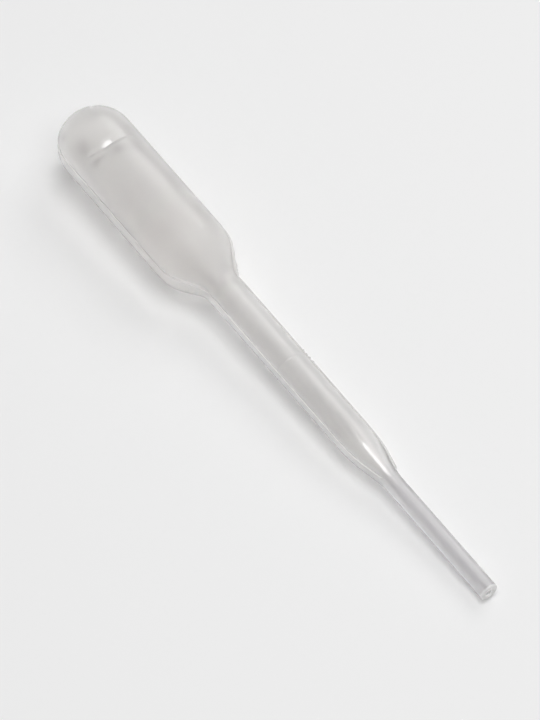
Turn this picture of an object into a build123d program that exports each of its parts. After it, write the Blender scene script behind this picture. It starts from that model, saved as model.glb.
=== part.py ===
from build123d import *

import os
from math import asin, atan2, cos, degrees, hypot, radians, tan

# One-piece blow-moulded dropper pipette: bulb, shoulder, stem, taper and tip in one hollow wall.
#
# Millimetres, +Z up. The piece lies on its side as it comes to rest, bulb towards -X and tip towards
# +X, touching the ground at the bulb's shoulder and at the tip's rim. The origin is on the ground,
# under the middle of the bounding box.
#
# It is first modelled about its own axis: X runs from the dome end (0) to the tip's rim, and a
# profile's second coordinate is the radius. The last step leans it on to its two resting points.

# ---- driving dimensions (mm, and degrees where said) ----
LENGTH = 107.8              # dome end to tip rim

BULB_DIAMETER = 12.7
BULB_WALL = 0.62
BULB_LENGTH = 33.0          # dome end to the corner where the shoulder begins
DOME_WALL = 1.1             # the closed end stays thicker, where the hot tube was pinched off
DOME_WALL_REACH = 3.7       # how far that thick wall runs on past the dome's own centre
DOME_STEP_LENGTH = 0.8      # inside step from the thick wall out to the bulb's wall

SHOULDER_LENGTH = 5.5       # bulb corner to stem corner
SHOULDER_ROUND = 7.8        # bulging radius at the bulb corner
SHOULDER_HOLLOW = 4.4       # hollow radius at the stem corner
SHOULDER_WALL_LEAD = 1.6    # the cavity narrows this much before the outside does

STEM_DIAMETER = 5.95        # at the shoulder
STEM_DRAFT = 0.14           # how much smaller its diameter is at the taper
STEM_LENGTH = 37.3          # stem corner to taper corner
STEM_WALL = 0.95

TAPER_LENGTH = 7.2          # taper corner to tip corner
TAPER_ROUND = 26.0
TAPER_HOLLOW = 9.6
TAPER_WALL_LEAD = 1.0

TIP_DIAMETER = 3.1
TIP_BORE = 1.5
TIP_RIM_ROUND = 0.25        # softened outer edge of the cut rim

PARTING_OFFSET = 1.1        # the mould halves meet on a plane this far above the axis
FLASH_THICKNESS = 0.16
FLASH_HEIGHT = 0.1          # how far the parting line stands out of bulb and stem
FLASH_SHOULDER_WEB = 0.8    # in the shoulder the flash fills the hollow, this much further along
FLASH_TAPER_WEB = 1.2       # the same in the taper
FLASH_TIP_GAP = 0.5         # the flash ends this far short of the tip

CREASE_FROM_DOME_END = 10.6  # buckle across the top of the bulb
CREASE_DEPTH = 0.28
CREASE_BOTTOM_ROUND = 0.9
CREASE_SPREAD = 55.0        # degrees round the bulb, each way from its middle, to where it runs out
CREASE_TURN = 3.0           # degrees that its middle lies off the top, towards +Y
CREASE_SLANT = 5.0          # degrees that its plane leans, so that it nears the tip on the +Y side

MARK_FROM_DOME_END = 57.4   # fine ring that the mould leaves round the stem
MARK_HEIGHT = 0.05
MARK_ROUND = 0.25           # radius of the ring's rounded back

# ---- sizes worked out from them ----
bulb_r = BULB_DIAMETER / 2
stem_r = STEM_DIAMETER / 2
stem_end_r = stem_r - STEM_DRAFT / 2
tip_r = TIP_DIAMETER / 2

stem_start = BULB_LENGTH + SHOULDER_LENGTH
taper_start = stem_start + STEM_LENGTH
tip_start = taper_start + TAPER_LENGTH


def turned(dome_end, dome_r, corners, rounds, end):
    """Solid of revolution about X: a domed end, then straight runs rounded where they meet."""
    last_r = corners[-1][1]
    with BuildPart() as body:
        with BuildSketch():
            with BuildLine():
                CenterArc((dome_end + dome_r, 0), dome_r, 90, 90)
                FilletPolyline((dome_end + dome_r, dome_r), *corners, (end, last_r), radius=rounds)
                Polyline((end, last_r), (end, 0), (dome_end, 0))
            make_face()
        revolve(axis=Axis.X)
    return body.part


def outside(proud=0, shoulder_shift=0, taper_shift=0):
    """The outer form, or one standing proud of it with its two slopes shifted along."""
    corners = [
        (BULB_LENGTH + shoulder_shift, bulb_r + proud),
        (stem_start + shoulder_shift, stem_r + proud),
        (taper_start + taper_shift, stem_end_r + proud),
        (tip_start + taper_shift, tip_r + proud),
    ]
    rounds = [SHOULDER_ROUND, SHOULDER_HOLLOW, TAPER_ROUND, TAPER_HOLLOW]
    return turned(-proud, bulb_r + proud, corners, rounds, LENGTH)


def cavity():
    """The air inside: a small dome, a step out to the bulb's wall, the shoulder, stem and bore."""
    dome_in_r = bulb_r - DOME_WALL
    bulb_in_r = bulb_r - BULB_WALL
    step_start = bulb_r + DOME_WALL_REACH
    corners = [
        (step_start, dome_in_r),
        (step_start + DOME_STEP_LENGTH, bulb_in_r),
        (BULB_LENGTH - SHOULDER_WALL_LEAD, bulb_in_r),
        (stem_start - SHOULDER_WALL_LEAD, stem_r - STEM_WALL),
        (taper_start - TAPER_WALL_LEAD, stem_end_r - STEM_WALL),
        (tip_start - TAPER_WALL_LEAD, TIP_BORE / 2),
    ]
    step_round = DOME_STEP_LENGTH / 2
    rounds = [step_round, step_round, SHOULDER_ROUND, SHOULDER_HOLLOW, TAPER_ROUND, TAPER_HOLLOW]
    return turned(DOME_WALL, dome_in_r, corners, rounds, LENGTH + TIP_DIAMETER)


def flash():
    """Thin fin along the parting plane, taller in the hollows of the shoulder and the taper."""
    proud_form = outside(FLASH_HEIGHT, FLASH_SHOULDER_WEB, FLASH_TAPER_WEB)
    reach = tip_start - FLASH_TIP_GAP
    slab = Box(2 * reach, 2 * BULB_DIAMETER, FLASH_THICKNESS)
    return proud_form & (Pos(Z=PARTING_OFFSET) * slab)


def crease(skin=0):
    """Ring that bites into the top of the bulb and runs out of it at both sides.

    Its circle is wider than the bulb and set off centre, so that it is deepest at the middle of
    the buckle. With a skin it is that much fatter, and gives the same buckle inside the wall.
    """
    off_centre = CREASE_DEPTH / (1 - cos(radians(CREASE_SPREAD)))
    ring_r = bulb_r - CREASE_DEPTH + CREASE_BOTTOM_ROUND + off_centre
    ring = Rot(Y=90) * Torus(ring_r, CREASE_BOTTOM_ROUND + skin)
    place = Pos(X=CREASE_FROM_DOME_END) * Rot(Z=-CREASE_SLANT) * Rot(X=-CREASE_TURN)
    return place * Pos(Z=-off_centre) * ring


def mark():
    """Fine raised ring round the stem."""
    along = (MARK_FROM_DOME_END - stem_start) / STEM_LENGTH
    surface_r = stem_r + (stem_end_r - stem_r) * along
    ring = Rot(Y=90) * Torus(surface_r + MARK_HEIGHT - MARK_ROUND, MARK_ROUND)
    return Pos(X=MARK_FROM_DOME_END) * ring


def pipette():
    """The whole piece about its own axis."""
    body = outside()
    rim = body.edges().filter_by(GeomType.CIRCLE).sort_by(Axis.X)[-1]
    body = fillet(rim, TIP_RIM_ROUND)
    body = body + flash() + mark() - crease()
    return body - (cavity() - crease(BULB_WALL))


def at_rest(piece):
    """Lean the piece on to the bulb's corner and the tip's rim, and centre it over the origin.

    The ground touches the two rounds seen in profile, so the lean is that of their common tangent.
    """
    shoulder_angle = atan2(bulb_r - stem_r, SHOULDER_LENGTH)
    bulb_x = BULB_LENGTH - SHOULDER_ROUND * tan(shoulder_angle / 2)
    bulb_height = bulb_r - SHOULDER_ROUND
    tip_x = LENGTH - TIP_RIM_ROUND
    tip_height = tip_r - TIP_RIM_ROUND
    run = tip_x - bulb_x
    rise = bulb_height - tip_height
    lean = atan2(rise, run) + asin((SHOULDER_ROUND - TIP_RIM_ROUND) / hypot(run, rise))
    leaned = Rot(Y=degrees(lean)) * piece
    box = leaned.bounding_box()
    return Pos(-box.center().X, -box.center().Y, -box.min.Z) * leaned


os.makedirs("parts", exist_ok=True)
export_step(at_rest(pipette()), "parts/pipette.step")
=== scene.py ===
"""A blow-moulded dropper pipette lying on a pale table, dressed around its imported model.

One hollow piece of translucent polyethylene: outer skin, cut tip and air space are a single closed
surface, worked out on a grid of rows along the piece and columns around it. The piece's own sizes are
in millimetres and the scene's in metres, +Z up.
"""
from math import asin, atan2, cos, hypot, pi, radians, sin, tan

import bpy
import numpy as np
from mathutils import Matrix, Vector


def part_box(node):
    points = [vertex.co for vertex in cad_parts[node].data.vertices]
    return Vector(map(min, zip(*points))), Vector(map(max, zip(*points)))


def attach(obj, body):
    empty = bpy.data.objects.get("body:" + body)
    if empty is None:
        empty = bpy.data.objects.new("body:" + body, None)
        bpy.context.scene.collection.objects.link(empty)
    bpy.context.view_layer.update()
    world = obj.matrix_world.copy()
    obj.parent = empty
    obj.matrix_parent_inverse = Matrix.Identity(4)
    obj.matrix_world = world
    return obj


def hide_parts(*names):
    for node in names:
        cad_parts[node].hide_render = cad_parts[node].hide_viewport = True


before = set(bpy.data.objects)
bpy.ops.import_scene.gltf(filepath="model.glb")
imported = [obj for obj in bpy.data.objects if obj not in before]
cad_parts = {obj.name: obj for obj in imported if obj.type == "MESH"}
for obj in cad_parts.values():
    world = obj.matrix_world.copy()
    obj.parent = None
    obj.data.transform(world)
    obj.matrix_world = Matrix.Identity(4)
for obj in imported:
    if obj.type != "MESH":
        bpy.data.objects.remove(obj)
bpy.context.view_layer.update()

MM = 0.001

# The piece is first worked out about its own axis: X runs from the dome's end (0) to the tip's rim.
# Degrees round it start at +Y, with 90 at the top. +Y is its far side and -Y its near side.
# A stretch is four places: where something begins, is full, begins to fade, and is gone.

# ---- outside and air space (mm) ----
LENGTH = 107.8
BULB_R = 6.35
BULB_WALL = 0.62
BULB_END = 33.0             # corner between bulb and shoulder
DOME_WALL = 1.1
DOME_WALL_END = 7.6         # from here the thick wall thins out to the bulb's wall
DOME_THINNING_END = 16.0
DOME_THINNING_ROUND = 24.0
SHOULDER_END = 38.5
SHOULDER_ROUND = 7.8
SHOULDER_HOLLOW = 4.4
SHOULDER_LEAD = 1.6         # the air space narrows this much before the outside does
INNER_HOLLOW = 9.0          # its hollow where the shoulder meets the stem
STEM_R = 2.975
STEM_END = 75.8
STEM_END_R = 2.905
STEM_WALL = 0.95
TAPER_END = 83.0
TAPER_ROUND = 26.0
TAPER_HOLLOW = 9.6
TAPER_LEAD = 1.0
TIP_R = 1.55
BORE_R = 0.75
RIM_ROUND = 0.25

# ---- flash along the parting line (mm) ----
PARTING = 1.1               # height of the parting plane over the axis
FLASH_HALF_WIDTH = 0.1
FLASH_HEIGHT = 0.1
FLASH_MOST = 1.2            # the tallest that it may stand
FLASH_STEM_HEIGHT = 0.16    # along the stem the ridge stands a little taller
FLASH_STEM = (39, 41, 72, 76)
FLASH_SHOULDER_LAG = 0.2    # its corners lie this much further along than the outside's
FLASH_SHOULDER_WEB = 1.3
FLASH_TAPER_WEB = 1.2
FLASH_SHOULDER_ROUND = 0.5
FLASH_TORN = 0.22           # share of its height by which its torn edge goes up and down
FLASH_TORN_ALONG = (31.5, 33.0, 39.4, 39.8)
FLASH_POLE = (0.9, 1.5)     # radii between which it rises out of the dome's pole
FLASH_END = 82.5
FLASH_END_FADE = 0.4
RIDGE_FULL = 0.08           # height from which its ridge counts in full for the finish

# nicks and bumps in its far ridge: place along, height
NICKS = ((56.6, 0.12), (57.1, -0.1), (57.9, -0.16), (58.3, 0.14), (58.7, -0.14), (59.2, 0.1))
NICK_HALF_WIDTH = 0.09

# half of its section: steps out from the middle in half widths, and the share of the height there
FIN_OUT = np.array([0.0, 0.42, 0.74, 0.92, 0.99, 1.03, 1.08, 1.2, 1.5, 2.2, 4.0])
FIN_UP = np.array([1.0, 1.0, 0.985, 0.92, 0.72, 0.45, 0.2, 0.06, 0.01, 0.0, 0.0])

# ---- fine ring round the stem (mm) ----
MARK_AT = 57.4
MARK_HEIGHT = 0.05
MARK_HALF_WIDTH = 0.12

# ---- slow unevenness of the two skins (mm) ----
OUTER_UNEVEN = 0.012
OUTER_SINK = 0.6            # share of it by which the outside sits lower, to stay in the solid's box
INNER_UNEVEN = 0.02
UNEVEN_END = (62, 74)       # both run out here

# where it comes in after the pole, where it grows calmer, and by what share
OUTER_CALM = ((0, 8), (34, 44), 0.8)
INNER_CALM = ((2, 9), (32, 42), 0.85)

# pace along and lobes round of each wave
OUTER_WAVES = ((0.31, 2), (0.53, 3), (0.87, 5), (0.17, 4))
INNER_WAVES = ((0.23, 3), (0.41, 2), (0.71, 5), (0.9, 7))

# ---- buckle in the top of the bulb (mm, degrees) ----
BUCKLE_AT = 10.6
BUCKLE_DEPTH = 0.25
BUCKLE_BUILDS_UP = ((42, 66, 0.35), (72, 90, 0.65))    # from its far end in two steps: from, to, share
BUCKLE_FADES = (106, 120)
NEAR_END = (108, 138)
FAR_END = (50, 84)
BUCKLE_NEAR_BEND = 0.75     # its near end bends this much towards the dome
BUCKLE_FAR_BEND = 0.15      # and its far end this much towards the tip
NEAR_FOLD_DEPTH = 0.18
NEAR_FOLD_BACK = 0.1        # it lies this much nearer the dome than the buckle's near end
NEAR_FOLD_ROUND = (110, 117, 127, 139)
PLEAT_DEPTH = 0.22
PLEAT_ON = 0.85             # it lies this much nearer the tip than the buckle, before either bends
PLEAT_NEAR_BEND = 0.45
PLEAT_ROUND = (106, 117, 126, 137)

# each fold's section: length and bend of the slope into its valley, then of the rise beyond it
BUCKLE_SECTION = (1.4, 1.35, 0.30, 1.5)
NEAR_FOLD_SECTION = (0.7, 1.2, 0.22, 1.5)
PLEAT_SECTION = (0.85, 1.3, 0.45, 2)

# ---- painted shade round the buckle: darker spots that stand in for the dark its folds refract ----
# place along, half length, degrees round, half spread, weight
PAINTED_SHADE_SPOTS = (
    (12.1, 1.0, 94.0, 12.0, 1.0),
    (8.2, 1.5, 131.0, 13.0, 0.9),
    (11.5, 0.8, 130.0, 11.0, 0.9),
    (9.1, 1.0, 50.0, 10.0, 0.5),
    (12.9, 1.6, 70.0, 12.0, 0.5),
    (3.8, 0.8, 150.0, 12.0, 0.6),
)

# ---- tints of the plastic ----
STEM_TINT = (0.887, 0.879, 0.872, 1)
BULB_TINT = (0.93, 0.92, 0.911, 1)
TAPER_TINT = (0.935, 0.928, 0.921, 1)
TIP_TINT = (0.848, 0.842, 0.848, 1)
# colour of the painted shade in the spots round the buckle
PAINTED_SHADE_TINT = (0.56, 0.55, 0.55, 1)
PLASTIC_IOR = 1.5

# ---- grid ----
UPPER_COLUMNS = 56
LOWER_COLUMNS = 60
STEEPEST = 0.82             # sine of the highest angle round at which the flash's columns may lie
OUTER_ROWS = 400
INNER_ROWS = 190

# where its rows lie closer: place along, half width, how much is added to a weight of 1
OUTER_CLOSER = (
    (10.6, 2.6, 7), (36, 4.2, 4.5), (57.9, 2.0, 7), (79, 5.0, 2.0), (LENGTH, 0.6, 14), (3, 4, 1.0),
)
INNER_CLOSER = ((10.6, 2.0, 6), (35, 4.5, 1.5), (78, 5.0, 1.5), (LENGTH, 0.5, 3), (3.5, 3.5, 1.2))


def smooth(low, high, value):
    """0 below low, 1 above high, and a soft S between."""
    t = np.clip((value - low) / (high - low), 0, 1)
    return t * t * (3 - 2 * t)


def within(stretch, value):
    """1 in the stretch and 0 outside it, with a soft S at each end."""
    begins, full, fades, gone = stretch
    return smooth(begins, full, value) * (1 - smooth(fades, gone, value))


def bell(value, middle, spread):
    """1 at the middle, falling off as the exponential of minus the squared distance in spreads."""
    return np.exp(-((value - middle) / spread) ** 2)


def rounded(corners, rounds, steps=40):
    """Straight runs through the corners, each inner corner swapped for an arc of its round.

    The arc's centre lies on the corner's bisector, at round / sin(half the corner's angle).
    """
    points = [np.array([corners[0]])]
    for before, corner, after, r in zip(corners, corners[1:], corners[2:], rounds):
        back, ahead = (np.subtract(p, corner) / hypot(*np.subtract(p, corner)) for p in (before, after))
        half = np.arccos(np.clip(back @ ahead, -1, 1)) / 2
        middle = (back + ahead) / hypot(*(back + ahead))
        centre = corner + middle * r / sin(half)
        first, last = (corner + way * r / tan(half) - centre for way in (back, ahead))
        start = atan2(first[1], first[0])
        sweep = (atan2(last[1], last[0]) - start + pi) % (2 * pi) - pi
        turn = start + sweep * np.linspace(0, 1, steps)
        points.append(centre + r * np.stack([np.cos(turn), np.sin(turn)], 1))
    points.append(np.array([corners[-1]]))
    return np.concatenate(points)


def dome(end, r, steps=90):
    """Quarter circle from the pole on the axis up to radius r."""
    turn = np.linspace(0, pi / 2, steps)
    return np.stack([end + r - r * np.cos(turn), r * np.sin(turn)], 1)


def outline(dome_at, dome_r, corners, rounds):
    """Half outline: a dome from its pole on the axis, then straight runs rounded where they meet."""
    runs = rounded([(dome_at + dome_r, dome_r), *corners], rounds)
    return np.concatenate([dome(dome_at, dome_r), runs[1:]])


def outer_line():
    """The outside from the dome's pole round the tip's rim to the edge of the bore."""
    corners = [
        (BULB_END, BULB_R), (SHOULDER_END, STEM_R), (STEM_END, STEM_END_R), (TAPER_END, TIP_R),
        (LENGTH, TIP_R), (LENGTH, BORE_R),
    ]
    rounds = [SHOULDER_ROUND, SHOULDER_HOLLOW, TAPER_ROUND, TAPER_HOLLOW, RIM_ROUND]
    return outline(0, BULB_R, corners, rounds)


def flash_line():
    """The flash's edge, which stands proud of the outside and fills the shoulder and the taper."""
    up = FLASH_HEIGHT
    corners = [
        (BULB_END + FLASH_SHOULDER_LAG, BULB_R + up), (SHOULDER_END + FLASH_SHOULDER_WEB, STEM_R + up),
        (STEM_END + FLASH_TAPER_WEB, STEM_END_R + up), (TAPER_END + FLASH_TAPER_WEB, TIP_R + up),
        (LENGTH, TIP_R + up),
    ]
    rounds = [SHOULDER_ROUND, FLASH_SHOULDER_ROUND, TAPER_ROUND, TAPER_HOLLOW]
    return outline(-up, BULB_R + up, corners, rounds)


def inner_line():
    """The air space from its own pole to the open end of the bore."""
    dome_in = BULB_R - DOME_WALL
    bulb_in = BULB_R - BULB_WALL
    corners = [
        (DOME_WALL_END, dome_in), (DOME_THINNING_END, bulb_in), (BULB_END - SHOULDER_LEAD, bulb_in),
        (SHOULDER_END - SHOULDER_LEAD, STEM_R - STEM_WALL), (STEM_END - TAPER_LEAD, STEM_END_R - STEM_WALL),
        (TAPER_END - TAPER_LEAD, BORE_R), (LENGTH, BORE_R),
    ]
    ease = DOME_THINNING_ROUND
    rounds = [ease, ease, SHOULDER_ROUND, INNER_HOLLOW, TAPER_ROUND, TAPER_HOLLOW]
    return outline(DOME_WALL, dome_in, corners, rounds)


def spaced(line, rows, closer, steps=20000):
    """The line's points respaced into rows past its first point, which is the pole.

    The rows share out the running sum of a weight along the line: 1, and more at the closer places.
    """
    step = np.hypot(*np.diff(line, axis=0).T)
    run = np.concatenate([[0], np.cumsum(step)])
    fine = np.linspace(0, run[-1], steps)
    along = np.interp(fine, run, line[:, 0])
    weight = np.ones_like(fine)
    for place, half_width, extra in closer:
        weight += extra * np.exp(-((along - place) / half_width) ** 4)
    total = np.concatenate([[0], np.cumsum((weight[1:] + weight[:-1]) / 2)])
    where = np.interp(np.linspace(0, total[-1], rows + 1), total, fine)[1:]
    return np.stack([np.interp(where, run, line[:, 0]), np.interp(where, run, line[:, 1])], 1)


def columns(radius):
    """Angle round the axis for each row and column, and each column's share of the flash's height.

    The parting plane meets a row of that radius at asin(height / radius) and at pi less that angle.
    Round each of these the columns follow the flash's section; the rest are dealt out evenly. In the
    small rows near a pole the angle stops short of the top, and the section is squeezed to fit.
    """
    at = np.arcsin(np.minimum(PARTING / np.maximum(radius, 1e-6), STEEPEST))[:, None]
    unit = np.minimum(FLASH_HALF_WIDTH / np.maximum(radius, 0.2)[:, None], (pi / 2 - at) * 0.1)
    out = np.concatenate([-FIN_OUT[:0:-1], FIN_OUT])
    rise = np.concatenate([FIN_UP[:0:-1], FIN_UP])
    far = at + unit * out
    near = pi - at + unit * out
    upper = np.linspace(0, 1, UPPER_COLUMNS + 2)[1:-1]
    lower = np.linspace(0, 1, LOWER_COLUMNS + 2)[1:-1]
    above = far[:, -1:] * (1 - upper) + near[:, :1] * upper
    below = near[:, -1:] * (1 - lower) + (far[:, :1] + 2 * pi) * lower
    share = np.concatenate([rise, np.zeros(UPPER_COLUMNS), rise, np.zeros(LOWER_COLUMNS)])
    return np.concatenate([far, above, near, below], 1), share


def fold_section(past, run, bend, rise, rise_bend):
    """Share of a fold's depth at that distance past its valley.

    Before the valley it is (1 + distance / run) to the power bend, and beyond it the exponential of
    minus (distance / rise) to the power rise_bend.
    """
    down = np.clip(1 + past / run, 0, 1) ** bend
    up = np.exp(-(np.maximum(past, 0) / rise) ** rise_bend)
    return np.where(past < 0, down, up)


def buckle(x, turn):
    """Depth of the dent in the bulb's top, for each place along and angle round.

    Three folds are added: the buckle, the shallower fold that carries on at its near end, and a pleat
    beside that end. Each is its depth times its reach round the bulb times its section along it.
    """
    about = np.degrees(turn) % 360
    near = smooth(*NEAR_END, about)
    far = 1 - smooth(*FAR_END, about)
    valley = BUCKLE_AT - BUCKLE_NEAR_BEND * near + BUCKLE_FAR_BEND * far
    reach = sum(part * smooth(begins, full, about) for begins, full, part in BUCKLE_BUILDS_UP)
    reach = reach * (1 - smooth(*BUCKLE_FADES, about))
    main = BUCKLE_DEPTH * reach * fold_section(x - valley, *BUCKLE_SECTION)
    past = x - (valley - NEAR_FOLD_BACK)
    near_fold = NEAR_FOLD_DEPTH * within(NEAR_FOLD_ROUND, about) * fold_section(past, *NEAR_FOLD_SECTION)
    past = x - (BUCKLE_AT + PLEAT_ON - PLEAT_NEAR_BEND * near)
    pleat = PLEAT_DEPTH * within(PLEAT_ROUND, about) * fold_section(past, *PLEAT_SECTION)
    return main + near_fold + pleat


def waves(x, turn, paces):
    """The mean of several waves, each a sine along times a sine round with its own pace and phase."""
    total = np.zeros(np.broadcast(x, turn).shape)
    for k, (pace, lobes) in enumerate(paces):
        total = total + np.sin(pace * x + 1.7 * k + 0.6) * np.sin(lobes * turn + 2.3 * k)
    return total / len(paces)


def uneven_share(x, comes_in, calms, calm):
    """Share of the unevenness along the piece: all on the bulb, less on the stem, none at the ends."""
    return smooth(*comes_in, x) * (1 - calm * smooth(*calms, x)) * (1 - smooth(*UNEVEN_END, x))


def ragged(x):
    """Torn edge of the flash: the mean of three quick sines along the piece."""
    w = np.sin(23.0 * x) + np.sin(37.7 * x + 1.1) + np.sin(61.0 * x + 0.4)
    return np.clip(w / 3, -1, 1)


def flash_height(x, r, out_r):
    """How far the flash stands out of each row, along the outline's normal.

    On the dome it is even. From there on it is the gap from the outline to the flash's edge, times
    the normal's share across the axis. It is taller on the stem and torn at the shoulder, and it fades
    at the dome's pole and before the tip.
    """
    gap = np.interp(x[:, 0], *flash_line().T)[:, None] - r
    height = np.where(x < BULB_R, FLASH_HEIGHT, np.clip(gap, 0, FLASH_MOST) * np.clip(out_r, 0.3, 1))
    height = height + (FLASH_STEM_HEIGHT - FLASH_HEIGHT) * within(FLASH_STEM, x)
    height = height * (1 + FLASH_TORN * within(FLASH_TORN_ALONG, x) * ragged(x))
    return height * (1 - smooth(FLASH_END - FLASH_END_FADE, FLASH_END, x)) * smooth(*FLASH_POLE, r)


def outer_skin(line):
    """Rows by columns of (x, y, z) for the outside, and how much of the flash's ridge is at each.

    The outline is turned about the axis. Flash, nicks, ring, unevenness and buckle are added up as a
    lift along the outline's own normal.
    """
    x = line[:, :1]
    r = line[:, 1:]
    turn, share = columns(line[:, 1])
    slope = np.gradient(line, axis=0)
    slope /= np.maximum(np.hypot(*slope.T), 1e-9)[:, None]
    out_x, out_r = -slope[:, 1:], slope[:, :1]
    nicks = sum(height * bell(x, place, NICK_HALF_WIDTH) for place, height in NICKS)
    proud = flash_height(x, r, out_r) + nicks * (np.cos(turn) > 0)
    ring = MARK_HEIGHT * bell(x, MARK_AT, MARK_HALF_WIDTH)
    uneven = OUTER_UNEVEN * uneven_share(x, *OUTER_CALM) * (waves(x, turn, OUTER_WAVES) - OUTER_SINK)
    lift = proud * share + ring + uneven - buckle(x, turn)
    px = x + lift * out_x
    pr = r + lift * out_r
    ridge = share * smooth(0, RIDGE_FULL, proud)
    return np.stack([px * np.ones_like(turn), pr * np.cos(turn), pr * np.sin(turn)], -1), ridge


def inner_skin(line):
    """Rows by columns of (x, y, z) for the air space: its outline turned about the axis.

    Its radius is a little uneven, and less under the buckle.
    """
    x = line[:, :1]
    turn, _ = columns(line[:, 1])
    uneven = INNER_UNEVEN * uneven_share(x, *INNER_CALM) * waves(x, turn, INNER_WAVES)
    pr = line[:, 1:] + uneven - buckle(x, turn)
    return np.stack([x * np.ones_like(turn), pr * np.cos(turn), pr * np.sin(turn)], -1)


def painted_shade_spots(rings):
    """How much painted shade the plastic gets round the buckle, in darker spots that stand in for the dark
    its folds refract: each spot is a bell along times a bell round.
    """
    about = np.degrees(np.arctan2(rings[..., 2], rings[..., 1]))
    painted_shade_share = sum(
        weight * bell(rings[..., 0], place, half_length) * bell(about, angle, spread)
        for place, half_length, angle, spread, weight in PAINTED_SHADE_SPOTS
    )
    return np.clip(painted_shade_share, 0, 1)


def at_rest(points):
    """Leans the piece on to its two resting points, then sets it in the solid model's box.

    Seen from the side, the ground touches the shoulder's round and the rim's round, so the lean is
    that of their common tangent.
    """
    slope = atan2(BULB_R - STEM_R, SHOULDER_END - BULB_END)
    bulb_x = BULB_END - SHOULDER_ROUND * tan(slope / 2)
    bulb_z = BULB_R - SHOULDER_ROUND
    run = LENGTH - RIM_ROUND - bulb_x
    rise = bulb_z - (TIP_R - RIM_ROUND)
    lean = atan2(rise, run) + asin((SHOULDER_ROUND - RIM_ROUND) / hypot(run, rise))
    turned = points @ np.array([[cos(lean), 0, -sin(lean)], [0, 1, 0], [sin(lean), 0, cos(lean)]])
    lowest = np.array(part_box("pipette")[0]) / MM
    left = BULB_R * cos(lean) - BULB_R
    under = -bulb_x * sin(lean) - bulb_z * cos(lean) - SHOULDER_ROUND
    return turned + np.array([lowest[0] - left, 0, lowest[2] - under])


def closed_mesh(name, points, rows, cols):
    """A grid of closed rings, with a pole beyond the first and the last; faces point outwards.

    The points are those of the rings, row by row, and then the two poles.
    """
    index = np.arange(rows * cols).reshape(rows, cols)
    beside = np.roll(index, -1, axis=1)
    quads = np.stack([index[:-1], beside[:-1], beside[1:], index[1:]], -1)
    first = np.stack([np.full(cols, rows * cols), beside[0], index[0]], -1)
    last = np.stack([np.full(cols, rows * cols + 1), index[-1], beside[-1]], -1)
    corners = np.concatenate([quads.ravel(), first.ravel(), last.ravel()])
    sizes = np.concatenate([np.full(quads.size // 4, 4), np.full(2 * cols, 3)])
    mesh = bpy.data.meshes.new(name)
    mesh.vertices.add(len(points))
    mesh.vertices.foreach_set("co", points.astype(np.float32).ravel())
    mesh.loops.add(len(corners))
    mesh.loops.foreach_set("vertex_index", corners.astype(np.int32))
    mesh.polygons.add(len(sizes))
    mesh.polygons.foreach_set("loop_start", np.concatenate([[0], np.cumsum(sizes)[:-1]]).astype(np.int32))
    mesh.polygons.foreach_set("use_smooth", np.ones(len(sizes), bool))
    mesh.update(calc_edges=True)
    mesh.validate()
    return mesh


def mark_points(mesh, name, values):
    """Keeps a number on each of the mesh's points, and 0 on those past the last value."""
    numbers = np.zeros(len(mesh.vertices), np.float32)
    numbers[:values.size] = values.ravel()
    mesh.attributes.new(name, "FLOAT", "POINT").data.foreach_set("value", numbers)


def pipette():
    """The whole piece: outer skin to the rim, then back along the air space, one closed surface."""
    outside, ridge = outer_skin(spaced(outer_line(), OUTER_ROWS, OUTER_CLOSER))
    inside = inner_skin(spaced(inner_line(), INNER_ROWS, INNER_CLOSER))
    rings = np.concatenate([outside, inside[::-1]])
    poles = np.array([[0.0, 0.0, 0.0], [DOME_WALL, 0.0, 0.0]])
    points = np.concatenate([rings.reshape(-1, 3), poles])
    mesh = closed_mesh("dropper_shell", at_rest(points) * MM, *rings.shape[:2])
    mark_points(mesh, "along", points[:, 0])
    mark_points(mesh, "ridge", ridge)
    # painted shade round the buckle, kept on the outer skin's points
    mark_points(mesh, "painted_shade", painted_shade_spots(outside))
    mesh.set_sharp_from_angle(angle=radians(50))
    piece = bpy.data.objects.new("dropper_shell", mesh)
    bpy.context.scene.collection.objects.link(piece)
    return piece


class Value:
    """A shader socket that takes part in Python sums; each operator adds a Math node."""

    def __init__(self, tree, socket):
        self.tree = tree
        self.socket = socket

    def math(self, operation, first, second):
        return node(self.tree, "ShaderNodeMath", {"operation": operation}, {0: first, 1: second})

    def __add__(self, other):
        return self.math("ADD", self, other)

    def __sub__(self, other):
        return self.math("SUBTRACT", self, other)

    def __rsub__(self, other):
        return self.math("SUBTRACT", other, self)

    def __mul__(self, other):
        return self.math("MULTIPLY", self, other)

    __radd__ = __add__
    __rmul__ = __mul__


def node(tree, kind, settings=None, inputs=None, output=0):
    """Adds a node: its settings first, then its sockets' values or links; returns one output, if any."""
    made = tree.nodes.new(kind)
    for key, value in (settings or {}).items():
        setattr(made, key, value)
    for key, value in (inputs or {}).items():
        if isinstance(value, Value):
            tree.links.new(value.socket, made.inputs[key])
        else:
            made.inputs[key].default_value = value
    return Value(tree, made.outputs[output]) if made.outputs else None


def blank_material(name):
    """A material with an empty node tree, and that tree."""
    material = bpy.data.materials.new(name)
    material.use_nodes = True
    material.node_tree.nodes.clear()
    return material, material.node_tree


def marked(tree, name):
    """The number that the mesh's points keep under that name."""
    return node(tree, "ShaderNodeAttribute", {"attribute_name": name}, output="Fac")


def step_along(along, low, high):
    """0 before low, 1 past high along the piece, with a soft S between."""
    inputs = {"Value": along, "From Min": low, "From Max": high}
    return node(along.tree, "ShaderNodeMapRange", {"interpolation_type": "SMOOTHSTEP"}, inputs)


def within_along(along, begins, full, fades, gone):
    """1 along that stretch of the piece and 0 outside it."""
    return step_along(along, begins, full) * (1 - step_along(along, fades, gone))


def tinted(share, under, over):
    """The colour under, and the colour over it by that share."""
    # a Mix node for colours takes them in its sockets 6 and 7 and gives its colour in socket 2
    return node(share.tree, "ShaderNodeMix", {"data_type": "RGBA"}, {0: share, 6: under, 7: over}, output=2)


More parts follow.
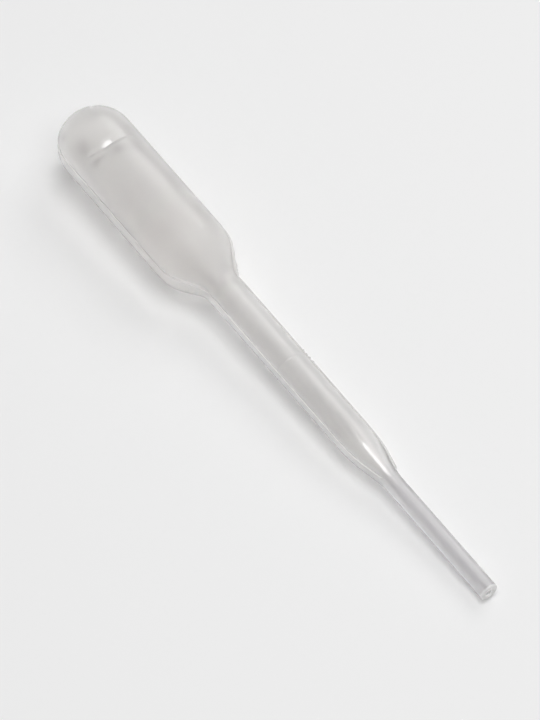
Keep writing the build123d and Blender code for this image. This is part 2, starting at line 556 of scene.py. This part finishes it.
def clear_plastic(tree, tint, roughness, gloss=None):
    """Plastic that lets light through, tinted and as rough as given, with a coat if gloss gives one."""
    looks = {"Base Color": tint, "Roughness": roughness, "IOR": PLASTIC_IOR, "Transmission Weight": 1.0}
    return node(tree, "ShaderNodeBsdfPrincipled", {}, looks | (gloss or {}))


def mixed(tree, share, first, second):
    """The first shader, and the second by that share."""
    return node(tree, "ShaderNodeMixShader", {}, {0: share, 1: first, 2: second})


def polyethylene():
    """Clear-natural polyethylene: satin on the bulb and its shoulder, glossier along the stem and tip.

    Clear plastic, smoother and coated with gloss in the buckle's fold, is mixed with rough plastic:
    over a quarter everywhere, so that a denoised edge follows the outer skin, and more on the shoulder
    and the cut face. Milk scatters light in it, a little everywhere, and most in the cut face and along
    the flash's ridge.
    """
    material, tree = blank_material("natural_polyethylene")
    ridge = marked(tree, "ridge")
    along = marked(tree, "along")
    # shares along the piece, by places in mm
    bulb = 1 - step_along(along, 34, 48)
    soft = 1 - step_along(along, 72, 90)
    tip = step_along(along, 79, 85)
    cut = step_along(along, LENGTH - 0.5, LENGTH - 0.15)
    fold = within_along(along, 9.0, 9.8, 11.3, 11.9)
    shoulder = within_along(along, 19, 34, 37, 44)
    taper = within_along(along, 70, 76, 81, 87)

    tint = STEM_TINT
    # spots of painted shade round the buckle darken the tint
    painted_shade_share = marked(tree, "painted_shade")
    for share, colour in ((bulb, BULB_TINT), (taper, TAPER_TINT), (tip, TIP_TINT), (painted_shade_share, PAINTED_SHADE_TINT)):
        tint = tinted(share, tint, colour)

    place = node(tree, "ShaderNodeTexCoord", output="Object")
    cloud = node(tree, "ShaderNodeTexNoise", {}, {"Vector": place, "Scale": 160.0, "Detail": 2.0})
    rough = 0.05 + 0.06 * soft + 0.14 * bulb - 0.01 * taper - 0.16 * fold
    rough = rough + 0.03 * (cloud - 0.5) + 0.25 * cut
    clear = clear_plastic(tree, tint, rough, {"Coat Weight": 0.45 * fold, "Coat Roughness": 0.03})
    hazy = clear_plastic(tree, tint, 0.5)
    haze = 0.29 + 0.3 * shoulder * (1 - ridge) + 0.3 * cut
    plastic = mixed(tree, haze, clear, hazy)

    glowing = node(tree, "ShaderNodeBsdfTranslucent", {}, {"Color": (0.99, 0.985, 0.975, 1)})
    white = node(tree, "ShaderNodeBsdfDiffuse", {}, {"Color": (0.97, 0.965, 0.955, 1)})
    milk = mixed(tree, 0.2 + 0.6 * cut, glowing, white)
    milky = 0.02 + 0.03 * bulb + 0.6 * cut + 0.3 * ridge
    node(tree, "ShaderNodeOutputMaterial", {}, {"Surface": mixed(tree, milky, plastic, milk)})
    return material


def table_top(half=1.5):
    """Matt pale table under and behind the piece; half is half of its side, in metres."""
    material, tree = blank_material("pale_table")
    matt = node(tree, "ShaderNodeBsdfDiffuse", {}, {"Color": (0.86, 0.86, 0.86, 1)})
    node(tree, "ShaderNodeOutputMaterial", {}, {"Surface": matt})
    mesh = bpy.data.meshes.new("table_top")
    corners = [(-half, -half, 0), (half, -half, 0), (half, half, 0), (-half, half, 0)]
    mesh.from_pydata(corners, [], [(0, 1, 2, 3)])
    mesh.materials.append(material)
    table = bpy.data.objects.new("table_top", mesh)
    bpy.context.scene.collection.objects.link(table)
    return table


def stand(name, data, axes, place):
    """Puts a camera or lamp in the scene, with its right, up and back axes as given."""
    made = bpy.data.objects.new(name, data)
    made.matrix_world = Matrix([*zip(*axes, place), (0, 0, 0, 1)])
    bpy.context.scene.collection.objects.link(made)
    return made


def camera(azimuth, elevation, distance, focal, target):
    """Long lens looking at the target from that azimuth (0 looks along +Y) and elevation."""
    right = np.array([cos(azimuth), sin(azimuth), 0])
    away = np.array([-sin(azimuth), cos(azimuth), 0])
    back = -away * cos(elevation) + np.array([0, 0, sin(elevation)])
    up = away * sin(elevation) + np.array([0, 0, cos(elevation)])
    data = bpy.data.cameras.new("camera")
    data.lens = focal
    data.sensor_width = 36
    data.clip_end = 20
    place = np.array(target) + back * distance
    bpy.context.scene.camera = stand("camera", data, (right, up, back), place)


def softbox(name, place, size, power):
    """Rectangular lamp at that place, facing the origin."""
    data = bpy.data.lights.new(name, "AREA")
    data.shape = "RECTANGLE"
    data.size, data.size_y = size
    data.energy = power
    back = np.array(place) / hypot(*place)
    side = np.cross([0, 1, 0], back)
    side /= hypot(*side)
    stand(name, data, (side, np.cross(back, side), back), place)


def studio(brightness):
    """Even white light from all round."""
    world = bpy.data.worlds.new("studio")
    world.use_nodes = True
    light = world.node_tree.nodes["Background"].inputs
    light["Color"].default_value = (1, 1, 1, 1)
    light["Strength"].default_value = brightness
    bpy.context.scene.world = world


piece = pipette()
piece.data.materials.append(polyethylene())
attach(piece, "root")
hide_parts("pipette")
table_top()

camera(
    azimuth=radians(53.290), elevation=radians(53.750), distance=1.2, focal=387.06,
    target=(-0.00007, -0.00151, 0.00379),
)
softbox("overhead_softbox", place=(0.0, 0.0, 1.0), size=(0.2, 0.5), power=3.2)
softbox("tip_side_softbox", place=(0.45, 0.0, 0.9), size=(0.5, 0.6), power=2.22)
softbox("far_side_softbox", place=(-0.2, 0.85, 0.85), size=(1.1, 0.6), power=4.7)
studio(brightness=0.3)

scene = bpy.context.scene
scene.view_settings.view_transform = "Standard"
scene.cycles.use_denoising = True
scene.cycles.blur_glossy = 0.0
scene.cycles.max_bounces = 24
scene.cycles.transmission_bounces = 20
scene.cycles.glossy_bounces = 12
